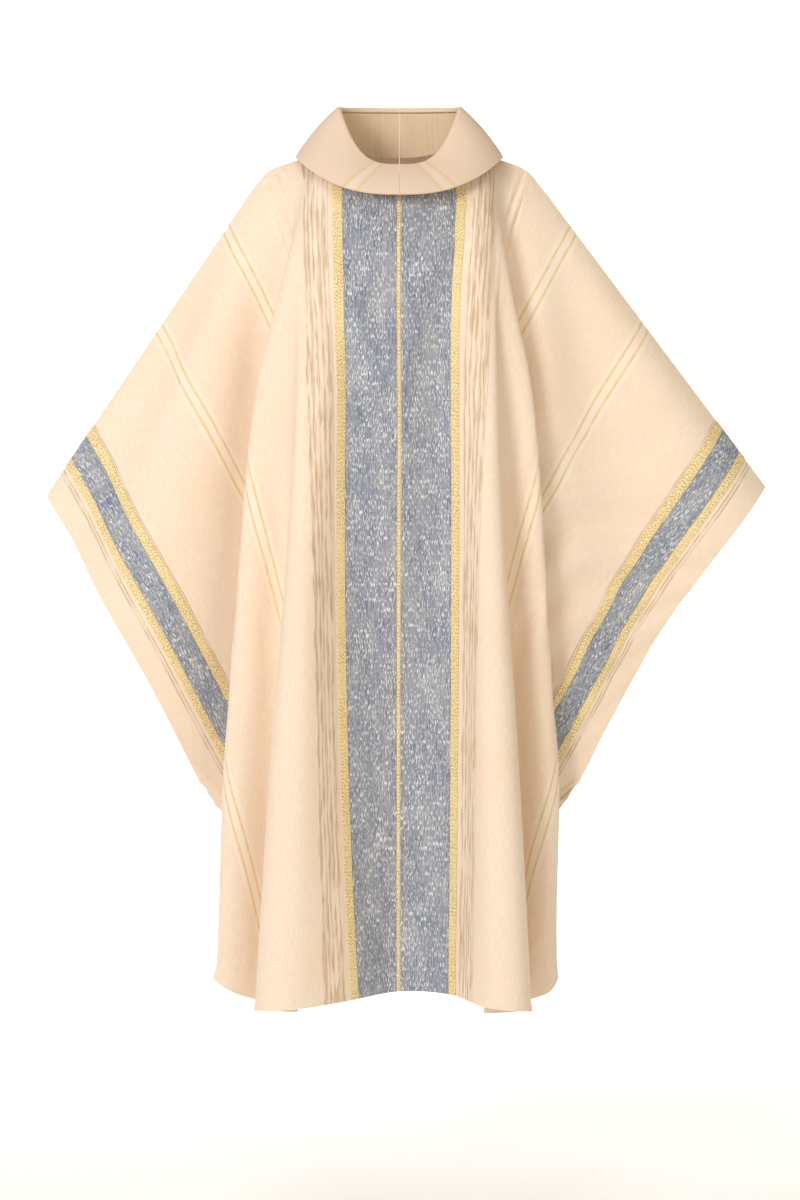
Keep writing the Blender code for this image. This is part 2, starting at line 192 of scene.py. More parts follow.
def top_v(u, face):
    """Upper edge of the cut: the neck curve, then the shoulder seam."""
    if u < NECK_HALF:
        return NECK_DROP[face] * (1 - (u / NECK_HALF) ** 2)
    return (u - NECK_HALF) * math.tan(SHOULDER_CUT)


def below_shoulder(u, v):
    """How far a flat position lies below the shoulder seam."""
    return max(0.0, v - max(0.0, u - NECK_HALF) * math.tan(SHOULDER_CUT))


def bottom_v(u, face):
    """Lower edge of the cut: the level hem, rounded up into the sleeve hem."""
    lowest = LENGTH[face] + HEM_DROP * smooth(u / HEM_STRAIGHT)
    corner = top_v(SLEEVE_AT, face) + SLEEVE_HEM_LENGTH
    t = clamp01((u - HEM_STRAIGHT) / (SLEEVE_AT - HEM_STRAIGHT))
    return corner + (lowest - corner) * (1 - t ** CORNER_ROUND) ** (1 / CORNER_ROUND)


def seam_point(s, hand):
    """Point (x, z) on the shoulder seam as worn, s along it from the neck corner."""
    bend_at = SHOULDER_BEND_AT[hand]
    bend = clamp01((s - bend_at) / SEAM_BEND + 0.5)
    corner = SEAM_BEND * bend * bend / 2
    level = min(s, bend_at - SEAM_BEND / 2) + SEAM_BEND * bend - corner
    steep = corner + max(0.0, s - bend_at - SEAM_BEND / 2)
    x = NECK_HALF + level * math.cos(SHOULDER_SLOPE) + steep * math.cos(ARM_SLOPE[hand])
    z = NECK_CORNER_Z - level * math.sin(SHOULDER_SLOPE) - steep * math.sin(ARM_SLOPE[hand])
    return x, z


SHOULDER_TIP = {hand: seam_point(SHOULDER_LENGTH, hand) for hand in ("left", "right")}


def wing_plane(u, v, hand):
    """The wing's cloth, turned down about the shoulder's tip."""
    out, down = u - TIP_U, v - TIP_V
    turn = ARM_SLOPE[hand] - SHOULDER_CUT
    tip_x, tip_z = SHOULDER_TIP[hand]
    x = tip_x + out * math.cos(turn) - down * math.sin(HEM_SLOPE[hand])
    z = tip_z - out * math.sin(turn) - down * math.cos(HEM_SLOPE[hand])
    return x, z


def through(knots, u, start_slope=None):
    """Smooth curve through the knots (u, value), flat at each turning point, with no overshoot."""
    if u <= knots[0][0]:
        return knots[0][1]
    if u >= knots[-1][0]:
        return knots[-1][1]
    slopes = [(b[1] - a[1]) / max(b[0] - a[0], 1e-6) for a, b in zip(knots, knots[1:])]
    tangents = [slopes[0] if start_slope is None else start_slope]
    for before, after in zip(slopes, slopes[1:]):
        same_way = before * after > 0
        tangents.append(2 * before * after / (before + after) if same_way else 0.0)
    tangents.append(slopes[-1])
    k = max(i for i in range(len(knots) - 1) if knots[i][0] <= u)
    (u0, f0), (u1, f1) = knots[k], knots[k + 1]
    span = max(u1 - u0, 1e-6)
    t = (u - u0) / span
    rise = f1 - f0
    d0, d1 = tangents[k] * span, tangents[k + 1] * span
    return f0 + d0 * t + (3 * rise - 2 * d0 - d1) * t * t + (d0 + d1 - 2 * rise) * t ** 3


def fold_lines(v, face, hand):
    """Flat u, worn x and worn depth of each fold line at level v, from the centre outwards."""
    share = v / LENGTH["front"]
    chest = DEPTH[face] + SWELL[face] * smooth(v / 0.5)
    inner_u = NECK_HALF + INNER_FOLD * v
    hidden_u = min(NECK_HALF + HIDDEN_FOLD * v, HIDDEN_LIMIT_U)
    inner_x = NECK_HALF + INNER_FALL[hand] * v
    outer_x = SHOULDER_TIP["right"][0] + OUTER_START[hand] + OUTER_FALL[hand] * v
    valley_x = mix(inner_x, outer_x, 0.45 * (1 - share)) - VALLEY_UNDER * share ** 2
    peak = chest + FLUTE[face] * share ** 1.2
    crest = CREST_ROUND * share
    turned = smooth(v / 0.3)
    middle_x = MIDDLE_U * (1 - MIDDLE_TURN[hand] * turned - MIDDLE_CLOSE[hand] * share ** 4)
    valley, outer, hidden = (mix(a, b, share) for a, b in zip(TOP_DEPTHS, HEM_DEPTHS))
    return [
        (0.0, 0.0, chest),
        (MIDDLE_U, middle_x, chest + MIDDLE_RISE[hand] * share ** 3 - MIDDLE_BACK[hand] * turned),
        (inner_u - crest, inner_x - 0.84 * crest, peak),
        (inner_u + crest / 3, inner_x, peak - 0.67 * crest),
        (NECK_HALF + VALLEY_FOLD * v, valley_x, valley),
        (NECK_HALF + OUTER_FOLD * v, outer_x, outer),
        (hidden_u, wing_plane(hidden_u, v, hand)[0], hidden),
    ]


def fold_target(u, v, face, hand):
    """Where the folds want a flat position (u, v) to hang, on the wearer's left, as (x, depth, z)."""
    down = below_shoulder(u, v)
    s = (u - NECK_HALF) / math.cos(SHOULDER_CUT)
    if s <= 0:
        near_x, near_z = u, NECK_CORNER_Z - down
    else:
        near_x, near_z = seam_point(s, hand)
        turn = HEM_SLOPE[hand] * smooth(s / (SHOULDER_LENGTH + SEAM_BEND))
        near_x, near_z = near_x - down * math.sin(turn), near_z - down * math.cos(turn)
    lines = fold_lines(v, face, hand)
    outer_u = lines[-2][0]
    hidden_u, _, hidden_depth = lines[-1]
    plane_x, plane_z = wing_plane(u, v, hand)
    if u >= hidden_u:
        fold_x, fold_z, depth = plane_x, plane_z, hidden_depth
    else:
        fold_x = through([(k[0], k[1]) for k in lines], u)
        depth = through([(k[0], k[2]) for k in lines], u, 0.0)
        reach = math.hypot(u - NECK_HALF, v)
        drop = math.sqrt(max(reach ** 2 - (fold_x - NECK_HALF) ** 2 - (0.5 * depth) ** 2, (0.8 * v) ** 2))
        fold_z = mix(NECK_CORNER_Z - drop, plane_z, smooth((u - outer_u) / max(hidden_u - outer_u, 1e-6)))
    # shallow folds that fan out from the shoulder's tip across the wing
    out, below = u - TIP_U, v - TIP_V
    fan = math.atan2(out, max(below, 1e-3))
    reach = math.hypot(out, below)
    phase = FAN_PHASE[hand] + (BACK_FAN_PHASE if face == "back" else 0.0)
    fade = smooth((fan - 0.35) / 0.25) * smooth((1.12 - fan) / 0.2) * smooth(reach / 0.35)
    depth += WING_WAVE[hand] * fade * math.sin(FAN_RATE * fan + phase)
    far = smooth((down - FOLD_START) / (FOLD_FULL - FOLD_START))
    y = depth * (1 - math.exp(-down / ROUND_OVER))
    return mix(near_x, fold_x, far), y, mix(near_z, fold_z, far)


def hold_strength(u, v):
    """How firmly the simulation keeps a flat position at its fold target, level and upright, per step."""
    down = below_shoulder(u, v)
    inner_u = NECK_HALF + INNER_FOLD * v
    outer_u = NECK_HALF + OUTER_FOLD * v
    inner_crest = math.exp(-((u - inner_u) / CREST_REACH) ** 2) * smooth(v / 0.4)
    outer_crest = math.exp(-((u - outer_u) / CREST_REACH) ** 2) * smooth(v / 0.4)
    slack = smooth((u - outer_u - 0.02) / 0.03) * smooth((SLEEVE_AT - 0.10 - u) / 0.05)
    slack *= smooth((v - 0.6) / 0.2)
    worn = HOLD_SHOULDER * math.exp(-down / 0.20)
    wing = HOLD_WING * smooth((u - outer_u - 0.05) / 0.05) * (1 - slack)
    panel = HOLD_PANEL + HOLD_INNER_CREST * inner_crest + HOLD_OUTER_CREST * outer_crest
    level = worn + panel * (1 - 0.9 * slack) + wing
    return level, worn + wing + HOLD_UPRIGHT


# ---- columns: straight lines of the cut from its upper to its lower edge -----
def column_params():
    """Knot position of each simulated column of one half, from the centre line outwards."""
    found = [0.0]
    for k, count in enumerate(PANEL_COLUMNS):
        found += [k + (i + 1) / count for i in range(count)]
    return found


def column_at(p):
    """Upper and lower u of the column at knot position p."""
    k = min(int(p), len(COLUMN_KNOTS) - 2)
    t = p - k
    return tuple(mix(a, b, t) for a, b in zip(COLUMN_KNOTS[k], COLUMN_KNOTS[k + 1]))


def straight_param(u):
    """Knot position of the column that keeps the distance u from the centre line all the way down."""
    if u <= IKAT_OUT:
        return u / IKAT_OUT
    return 3 + (u - INNER_BRAID_IN) / (SLEEVE_AT - INNER_BRAID_IN)


def flat_point(p, t, face):
    top_u, low_u = column_at(abs(p))
    return mix(top_u, low_u, t), mix(top_v(top_u, face), bottom_v(low_u, face), t)


def row_share(r):
    return r ** ROW_SPREAD


# ---- the cloth simulation ---------------------------------------------------
FACES = ("front", "back")


def start_state():
    """Flat positions and fold targets of the simulated grid: (face, column, row, ...)."""
    half = column_params()
    params = [-p for p in reversed(half[1:])] + half
    flat = np.zeros((2, len(params), SIM_ROWS + 1, 2))
    target = np.zeros((2, len(params), SIM_ROWS + 1, 3))
    hold = np.zeros((2, len(params), SIM_ROWS + 1, 3))
    for f, face in enumerate(FACES):
        for c, p in enumerate(params):
            side = 1 if p >= 0 else -1
            hand = "left" if p >= 0 else "right"
            for r in range(SIM_ROWS + 1):
                u, v = flat_point(p, row_share(r / SIM_ROWS), face)
                x, y, z = fold_target(u, v, face, hand)
                flat[f, c, r] = side * u, v
                target[f, c, r] = side * x, -y if face == "front" else y, z
                level, upright = hold_strength(u, v)
                hold[f, c, r] = level, level, upright
    return np.array(params), flat, target, hold


def pairs_of(flat, across, down, give):
    """Distance rules between grid points `across` columns and `down` rows apart.

    They come in groups that share no point.
    """
    count_c, count_r = flat.shape[1:3]
    rules = []
    for start in range(2 * across if across else 1):
        for begin in range(2 * abs(down) if down and not across else 1):
            step_c = 2 * across if across else 1
            step_r = 2 * abs(down) if down and not across else 1
            columns = np.arange(start, count_c - across, step_c)
            low = max(0, -down)
            rows = np.arange(low + begin, count_r - max(0, down), step_r)
            if len(columns) == 0 or len(rows) == 0:
                continue
            a = (
                slice(None),
                slice(columns[0], columns[-1] + 1, step_c),
                slice(rows[0], rows[-1] + 1, step_r),
            )
            b = (
                slice(None),
                slice(columns[0] + across, columns[-1] + across + 1, step_c),
                slice(rows[0] + down, rows[-1] + down + 1, step_r),
            )
            rules.append((a, b, np.linalg.norm(flat[a] - flat[b], axis=-1), give))
    return rules


def settle(flat, target, hold):
    """Lets the cut settle under gravity near the fold targets, keeping its flat lengths."""
    place = target.copy()
    speed = np.zeros_like(place)
    free = np.ones(place.shape[:3])
    free[:, :, 0] = 0.0
    stretch = pairs_of(flat, 1, 0, 0.0) + pairs_of(flat, 0, 1, 0.0)
    shear = pairs_of(flat, 1, 1, SHEAR_GIVE) + pairs_of(flat, 1, -1, SHEAR_GIVE)
    bending = []
    for reach, give in BEND_GIVES:
        bending += pairs_of(flat, reach, 0, give) + pairs_of(flat, 0, reach, give)
    tether = np.linalg.norm(flat - flat[:, :, :1], axis=-1)
    step = 1 / 60 / STEPS
    gravity = np.array([0.0, 0.0, GRAVITY])
    front_y, back_y = target[0, ..., 1], target[1, ..., 1]
    for _ in range(FRAMES * STEPS):
        old = place.copy()
        speed = (speed + gravity * step) * DAMPING
        place += speed * step * free[..., None]
        for rules, only_push in ((stretch, False), (shear, False), (bending, True)):
            for a, b, rest, give in rules:
                gap = place[b] - place[a]
                length = np.sqrt(np.einsum("...k,...k->...", gap, gap)) + 1e-9
                wa, wb = free[a], free[b]
                pull = (length - rest) / length / (wa + wb + give / step ** 2 + 1e-12)
                if only_push:
                    pull = np.minimum(pull, 0)
                move = gap * pull[..., None]
                place[a] += move * wa[..., None]
                place[b] -= move * wb[..., None]
        place += (target - place) * hold * free[..., None]
        fall = place - place[:, :, :1]
        length = np.linalg.norm(fall, axis=-1)
        shrink = np.minimum(1, tether / np.maximum(length, 1e-9))
        place = place[:, :, :1] + fall * np.where(length > 0, shrink, 1)[..., None]
        nearest = np.minimum(front_y + STRAY, -MID_GAP)
        place[0, ..., 1] = np.clip(place[0, ..., 1], front_y - STRAY, nearest)
        nearest = np.maximum(back_y - STRAY, MID_GAP)
        place[1, ..., 1] = np.clip(place[1, ..., 1], nearest, back_y + STRAY)
        speed = (place - old) / step
        fast = np.linalg.norm(speed, axis=-1, keepdims=True)
        speed *= np.minimum(1, TOP_SPEED / np.maximum(fast, 1e-9))
    return place


def interpolation(knots, wanted):
    """Matrix of a smooth (Catmull-Rom) interpolation from values at `knots` to values at `wanted`."""
    count = len(knots)
    weights = np.zeros((len(wanted), count))
    for i, x in enumerate(wanted):
        k = int(np.clip(np.searchsorted(knots, x, side="right") - 1, 0, count - 2))
        span = knots[k + 1] - knots[k]
        t = (x - knots[k]) / span
        h00, h10 = 2 * t ** 3 - 3 * t ** 2 + 1, t ** 3 - 2 * t ** 2 + t
        h01, h11 = -2 * t ** 3 + 3 * t ** 2, t ** 3 - t ** 2
        weights[i, k] += h00
        weights[i, k + 1] += h01
        for at, share in ((k, h10), (k + 1, h11)):
            before, after = max(at - 1, 0), min(at + 1, count - 1)
            slope = span / (knots[after] - knots[before])
            weights[i, after] += share * slope
            weights[i, before] -= share * slope
    return weights


class Surface:
    """The settled cloth, which gives points, normals and flat positions for any columns and rows."""

    def __init__(self):
        self.params, flat, target, hold = start_state()
        self.place = settle(flat, target, hold)
        for _ in range(2):
            inner = self.place[:, 1:-1, 1:-1]
            near = (self.place[:, :-2, 1:-1] + self.place[:, 2:, 1:-1]
                    + self.place[:, 1:-1, :-2] + self.place[:, 1:-1, 2:]) / 4
            self.place[:, 1:-1, 1:-1] = inner + EVEN_OUT * (near - inner)

    def patch(self, face, hand, params, rows):
        """Grid of points, outward normals and flat (u, v) at the given knot positions and row shares."""
        side = 1 if hand == "left" else -1
        signed = np.array(params) * side
        across = interpolation(self.params, signed)
        along = interpolation(np.arange(SIM_ROWS + 1) / SIM_ROWS, rows)
        points = np.einsum("ac,crk,br->abk", across, self.place[FACES.index(face)], along)
        flat = np.array([[flat_point(p, row_share(r), face) for r in rows] for p in params])
        flat[..., 0] *= side
        d_across = np.gradient(points, axis=0)
        d_along = np.gradient(points, axis=1)
        normal = np.cross(d_across, d_along)
        normal /= np.maximum(np.linalg.norm(normal, axis=-1, keepdims=True), 1e-12)
        if (normal[..., 1].mean() > 0) == (face == "front"):
            normal = -normal
        return points, normal, flat


# ---- meshes -----------------------------------------------------------------
def shell(name, points, normals, flat, lift, thickness, crown=0.0):
    """A closed thin sheet over a grid: outer face, inner face and rim, with the flat position as UV."""
    count_a, count_b = points.shape[:2]
    bulge = np.zeros((count_a, count_b, 1))
    if crown:
        edge = np.minimum(np.arange(count_a), np.arange(count_a)[::-1])
        bulge[:, :, 0] = crown * np.minimum(1, edge)[:, None]
    outer = points + normals * (lift + thickness + bulge)
    inner = points + normals * lift
    vertices = np.concatenate([outer.reshape(-1, 3), inner.reshape(-1, 3)])
    index = np.arange(count_a * count_b).reshape(count_a, count_b)
    quads = np.stack([index[:-1, :-1], index[1:, :-1], index[1:, 1:], index[:-1, 1:]], -1).reshape(-1, 4)
    ring = np.concatenate([index[:, 0], index[-1, 1:], index[-2::-1, -1], index[0, -2:0:-1]])
    after = np.roll(ring, -1)
    under = count_a * count_b
    faces = np.concatenate([
        quads,
        quads[:, ::-1] + under,
        np.stack([after, ring, ring + under, after + under], -1),
    ])
    middle = quads[len(quads) // 2]
    first, second, third = vertices[middle[:3]]
    face_normal = np.cross(second - first, third - first)
    if face_normal @ normals.reshape(-1, 3)[middle[0]] < 0:
        faces = faces[:, ::-1]
    mesh = bpy.data.meshes.new(name)
    mesh.from_pydata(vertices.tolist(), [], faces.tolist())
    uv = mesh.uv_layers.new(name="flat")
    coordinates = np.concatenate([flat.reshape(-1, 2), flat.reshape(-1, 2)])
    uv.data.foreach_set("uv", coordinates[faces.reshape(-1)].astype(np.float32).ravel())
    mesh.shade_smooth()
    mesh.set_sharp_from_angle(angle=math.radians(50))
    made = bpy.data.objects.new(name, mesh)
    bpy.context.scene.collection.objects.link(made)
    return made


def spaced(start, end, step):
    count = max(1, int(math.ceil(abs(end - start) / step)))
    return [start + (end - start) * i / count for i in range(count + 1)]


def bend_weight(u, v):
    """How far a flat position follows the sleeve: 0 on the panel, 1 on the wing, in steps at the folds."""
    starts = max(IKAT_OUT + 0.005, NECK_HALF + INNER_FOLD * v)
    valley = max(starts + 0.030, NECK_HALF + VALLEY_FOLD * v)
    outer = max(valley + 0.015, NECK_HALF + OUTER_FOLD * v)
    ends = max(outer + 0.035, min(NECK_HALF + HIDDEN_FOLD * v, HIDDEN_LIMIT_U))
    return 0.5 * smooth((u - starts) / (valley - starts)) + 0.5 * smooth((u - outer) / (ends - outer))


def follow_both(piece, flat):
    """Bakes the piece's placement into its mesh and works out how far each point follows the sleeve; the
    weights are not used.
    """
    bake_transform(piece)
    weights = np.array([bend_weight(abs(u), v) for u, v in flat.reshape(-1, 2)])
    weights = np.concatenate([weights, weights]).astype(np.float32)


# ---- materials --------------------------------------------------------------
class Look:
    """A procedural material, built up node by node."""

    def __init__(self, name):
        self.material = bpy.data.materials.new(name)
        self.material.use_nodes = True
        self.tree = self.material.node_tree
        self.shader = self.tree.nodes["Principled BSDF"]
        where = self.node("ShaderNodeUVMap")
        where.uv_map = "flat"
        split = self.node("ShaderNodeSeparateXYZ")
        self.link(where.outputs[0], split.inputs[0])
        self.u, self.v = split.outputs[0], split.outputs[1]

    def node(self, kind, **settings):
        made = self.tree.nodes.new(kind)
        for key, value in settings.items():
            setattr(made, key, value)
        return made

    def link(self, a, b):
        self.tree.links.new(a, b)

    def math(self, operation, a, b=None, c=None):
        made = self.node("ShaderNodeMath", operation=operation)
        for socket, value in zip(made.inputs, (a, b, c)):
            if value is None:
                continue
            if isinstance(value, (int, float)):
                socket.default_value = value
            else:
                self.link(value, socket)
        return made.outputs[0]

    def noise(self, across, along, detail=2.0, seed=0.0, roughness=0.5):
        """Noise over the flat cloth, with features about 1/across by 1/along metres."""
        joined = self.node("ShaderNodeCombineXYZ")
        self.link(self.math("MULTIPLY", self.u, across), joined.inputs[0])
        self.link(self.math("MULTIPLY", self.v, along), joined.inputs[1])
        joined.inputs[2].default_value = seed
        made = self.node("ShaderNodeTexNoise", noise_dimensions="3D")
        made.inputs["Scale"].default_value = 1.0
        made.inputs["Detail"].default_value = detail
        made.inputs["Roughness"].default_value = roughness
        self.link(joined.outputs[0], made.inputs["Vector"])
        return made.outputs[0]

    def ramp(self, value, low, high):
        """0 below low, 1 above high."""
        made = self.node("ShaderNodeMapRange", interpolation_type="SMOOTHSTEP")
        made.inputs[1].default_value = low
        made.inputs[2].default_value = high
        self.link(value, made.inputs[0])
        return made.outputs[0]

    def blend(self, share, a, b):
        made = self.node("ShaderNodeMix", data_type="RGBA")
        if isinstance(share, (int, float)):
            made.inputs[0].default_value = share
        else:
            self.link(share, made.inputs[0])
        for socket, value in ((made.inputs[6], a), (made.inputs[7], b)):
            if isinstance(value, tuple):
                socket.default_value = (*value, 1.0)
            else:
                self.link(value, socket)
        return made.outputs[2]

    def line(self, at, half, soft=0.0006, wobble=None):
        """1 on the woven line at distance `at` from the centre, 0 off it."""
        off = self.math("SUBTRACT", self.math("ABSOLUTE", self.u), at)
        if wobble is not None:
            off = self.math("ADD", off, wobble)
        return self.math("SUBTRACT", 1.0, self.ramp(self.math("ABSOLUTE", off), half, half + soft))

    def any_of(self, masks):
        joined = masks[0]
        for mask in masks[1:]:
            joined = self.math("MAXIMUM", joined, mask)
        return joined

    def relief(self, height, strength, distance):
        bump = self.node("ShaderNodeBump")
        bump.inputs["Strength"].default_value = strength
        bump.inputs["Distance"].default_value = distance
        self.link(height, bump.inputs["Height"])
        self.link(bump.outputs[0], self.shader.inputs["Normal"])

    def weave_bump(self, scale, strength, distance, extra=None):
        """Crossed yarns as a fine bump."""
        warp = self.math("SINE", self.math("MULTIPLY", self.u, 2 * math.pi * scale))
        weft = self.math("SINE", self.math("MULTIPLY", self.v, 2 * math.pi * scale * 0.9))
        uneven = self.noise(scale, scale * 0.6)
        height = self.math("MULTIPLY_ADD", self.math("MULTIPLY", warp, weft), 0.5, uneven)
        if extra is not None:
            height = self.math("ADD", height, extra)
        self.relief(height, strength, distance)

    def finish(self, colour, roughness, sheen=0.0):
        self.link(colour, self.shader.inputs["Base Color"])
        if isinstance(roughness, (int, float)):
            self.shader.inputs["Roughness"].default_value = roughness
        else:
            self.link(roughness, self.shader.inputs["Roughness"])
        self.shader.inputs["Sheen Weight"].default_value = sheen
        self.shader.inputs["Sheen Roughness"].default_value = 0.5
        self.shader.inputs["Specular IOR Level"].default_value = 0.25
        return self.material


def srgb(*values):
    """Linear colour from 0-255 display values."""
    return tuple((c / 255 / 12.92) if c <= 10.3 else ((c / 255 + 0.055) / 1.055) ** 2.4 for c in values)


CREAM = srgb(247, 226, 204)
CREAM_PALE = srgb(253, 238, 220)
CREAM_WARM = srgb(246, 219, 187)
PALE_LINE = srgb(255, 247, 232)
GOLD_LINE = srgb(236, 205, 148)
IKAT_BROWN = srgb(196, 166, 128)
BLUE = srgb(152, 160, 176)
BLUE_DEEP = srgb(114, 126, 150)
BLUE_GREY = srgb(182, 184, 188)
# silver lurex flecks, painted very pale as their glint: a painted highlight
SILVER_FLECK_GLINT = srgb(246, 247, 248)
GOLD = srgb(238, 214, 156)
# painted shade in the grooves between the braid's ribs
GOLD_GROOVE_SHADE = srgb(206, 170, 104)
# painted highlight: glints of the gold thread
GOLD_PAINTED_GLINT = srgb(255, 246, 206)
GOLD_PALE = srgb(248, 230, 176)
COLLAR_CREAM = srgb(243, 219, 199)
COLLAR_GRAIN = srgb(222, 188, 148)
LINING_TAN = srgb(222, 188, 142)
LINING_BROWN = srgb(164, 124, 82)

BRAID_PLAIT, BRAID_RIB = 0.0036, 0.0054     # width of a plait and length of a rib, in metres
IKAT_LINES_AT = (0.0050, 0.0140, 0.0230, 0.0315, 0.0400)      # from the band's inner edge
HEM_LINES_AT = (0.0375, 0.0425, 0.1135, 0.118)                # from the sleeve's edge
STRIPE_APART = 0.0068         # from a stripe pair's centre to each of its golden lines
COLLAR_STRIPES_AT = (0.255, 0.405)


def cream_base(look):
    """Undyed cream wool with a slightly uneven yarn."""
    streak = look.noise(900, 60, detail=3, seed=3)
    patch = look.noise(6, 5, detail=2, seed=8)
    colour = look.blend(look.ramp(streak, 0.35, 0.70), CREAM, CREAM_PALE)
    return look.blend(look.math("MULTIPLY", look.ramp(patch, 0.40, 0.75), 0.25), colour, CREAM_WARM)


def cream_cloth():
    look = Look("cream_cloth")
    colour = cream_base(look)
    pale, golden = [], []
    for at in STRIPES_AT:
        golden += [look.line(at + off, 0.0012, 0.0012) for off in (-STRIPE_APART, STRIPE_APART)]
        pale.append(look.line(at, 0.0125, 0.004))
    broken = look.math("MULTIPLY_ADD", look.ramp(look.noise(200, 60, seed=41), 0.35, 0.60), 0.35, 0.55)
    colour = look.blend(look.math("MULTIPLY", look.any_of(pale), 0.40), colour, PALE_LINE)
    colour = look.blend(look.math("MULTIPLY", look.any_of(golden), broken), colour, GOLD_LINE)
    dashes = look.ramp(look.noise(60, 22, detail=2, seed=5), 0.40, 0.56)
    wander = look.math("MULTIPLY", look.math("SUBTRACT", look.noise(8, 24, seed=21), 0.5), 0.0030)
    beside = [look.line(SLEEVE_AT - off, 0.0008, 0.0012, wander) for off in HEM_LINES_AT]
    share = look.math("MULTIPLY", look.any_of(beside), look.math("MULTIPLY_ADD", dashes, 0.40, 0.25))
    colour = look.blend(share, colour, IKAT_BROWN)
    look.weave_bump(900, 0.30, 0.0004)
    return look.finish(colour, 0.85, sheen=0.1)


def ikat_band():
    look = Look("ikat_band")
    colour = cream_base(look)
    masks = []
    for number, offset in enumerate(IKAT_LINES_AT):
        drift = look.noise(6, 14, detail=2, seed=30 + number)
        wander = look.math("MULTIPLY", look.math("SUBTRACT", drift, 0.5), 0.009)
        width = look.math("MULTIPLY_ADD", look.noise(30, 18, detail=2, seed=50 + number), 0.012, -0.0034)
        centre = look.math("SUBTRACT", look.math("ABSOLUTE", look.u), IKAT_IN + offset)
        off = look.math("ABSOLUTE", look.math("ADD", centre, wander))
        masks.append(look.ramp(look.math("SUBTRACT", width, off), -0.0008, 0.0016))
    streak = look.ramp(look.noise(560, 26, detail=2, seed=61), 0.35, 0.62)
    share = look.math("MULTIPLY", look.any_of(masks), look.math("MULTIPLY_ADD", streak, 0.60, 0.18))
    colour = look.blend(share, colour, IKAT_BROWN)
    look.weave_bump(900, 0.30, 0.0004)
    return look.finish(colour, 0.85, sheen=0.1)


def blue_band():
    look = Look("blue_band")
    column = look.noise(380, 22, detail=3, seed=11)
    broad = look.noise(30, 10, detail=3, seed=12)
    colour = look.blend(look.ramp(column, 0.34, 0.66), BLUE_DEEP, BLUE)
    colour = look.blend(look.math("MULTIPLY", look.ramp(broad, 0.40, 0.70), 0.35), colour, BLUE_GREY)
    fine = look.ramp(look.noise(560, 60, detail=2, seed=15), 0.48, 0.62)
    colour = look.blend(look.math("MULTIPLY", fine, 0.60), colour, BLUE_GREY)
    # silver weft floats of the lurex, painted very pale as their glint: the thread is real, its sparkle a
    # painted highlight
    gate = look.math("MULTIPLY_ADD", look.noise(50, 20, detail=2, seed=14), 0.30,
                     look.noise(720, 130, detail=1, seed=13))
    fleck_glint = look.math("MULTIPLY", look.ramp(gate, 0.70, 0.80), 0.85)
    colour = look.blend(fleck_glint, colour, SILVER_FLECK_GLINT)
    look.weave_bump(800, 0.35, 0.0005, extra=look.math("MULTIPLY", fleck_glint, 1.5))
    rough = look.math("MULTIPLY_ADD", fleck_glint, -0.30, 0.70)
    return look.finish(colour, rough, sheen=0.05)


def gold_braid():
    look = Look("gold_braid")
    tooth = look.math("PINGPONG", look.math("ABSOLUTE", look.u), BRAID_PLAIT)
    slanted = look.math("ADD", look.v, tooth)
    rib = look.math("SINE", look.math("MULTIPLY", slanted, 2 * math.pi / BRAID_RIB))
    glint = look.noise(480, 330, detail=2, seed=17)
    broad = look.noise(26, 16, detail=2, seed=18)
    # herringbone ribs of the braid, with painted shade darkening the grooves between them
    colour = look.blend(look.ramp(rib, -0.8, 0.3), GOLD_GROOVE_SHADE, GOLD)
    # painted highlight: bright glints of the metal thread painted into the braid's colour
    colour = look.blend(look.math("MULTIPLY", look.ramp(glint, 0.48, 0.58), 0.85), colour, GOLD_PAINTED_GLINT)
    colour = look.blend(look.math("MULTIPLY", look.ramp(broad, 0.4, 0.7), 0.45), colour, GOLD_PALE)
    height = look.math("MULTIPLY_ADD", rib, 0.8, glint)
    look.relief(height, 0.5, 0.0006)
    return look.finish(colour, 0.45)


def collar_cloth():
    look = Look("collar_cloth")
    colour = cream_base(look)
    colour = look.blend(0.70, colour, COLLAR_CREAM)
    grain = look.noise(260, 900, detail=2, seed=77)
    colour = look.blend(look.math("MULTIPLY", look.ramp(grain, 0.45, 0.75), 0.35), colour, COLLAR_GRAIN)
    # diagonal stripe pair each side; u is the angle from the centre front in radians and v the drop
    lean = look.math("SUBTRACT", look.math("ABSOLUTE", look.u), look.math("MULTIPLY", look.v, 1.9))
    first, second = (look.math("ABSOLUTE", look.math("SUBTRACT", lean, at)) for at in COLLAR_STRIPES_AT)
    middle = sum(COLLAR_STRIPES_AT) / 2
    between = look.math("ABSOLUTE", look.math("SUBTRACT", lean, middle))
    lines = look.math("SUBTRACT", 1.0, look.ramp(look.math("MINIMUM", first, second), 0.008, 0.026))
    pale = look.math("SUBTRACT", 1.0, look.ramp(between, 0.025, 0.060))
    colour = look.blend(look.math("MULTIPLY", pale, 0.3), colour, PALE_LINE)
    colour = look.blend(look.math("MULTIPLY", lines, 0.5), colour, GOLD_LINE)
    look.weave_bump(420, 0.30, 0.0004)
    return look.finish(colour, 0.85, sheen=0.1)


def lining():
    look = Look("lining")
    colour = cream_base(look)
    colour = look.blend(0.50, colour, LINING_TAN)
    bars = look.ramp(look.noise(60, 3, detail=3, seed=71), 0.50, 0.66)
    colour = look.blend(look.math("MULTIPLY", bars, 0.25), colour, LINING_BROWN)
    look.weave_bump(420, 0.30, 0.0004)
    return look.finish(colour, 0.9)


LOOKS = {
    "cream_cloth": cream_cloth(),
    "blue_band": blue_band(),
    "gold_braid": gold_braid(),
    "ikat_band": ikat_band(),
    "collar_cloth": collar_cloth(),
    "lining": lining(),
}


def dress(piece, slot):
    piece.data.materials.append(LOOKS[slot])
    return piece


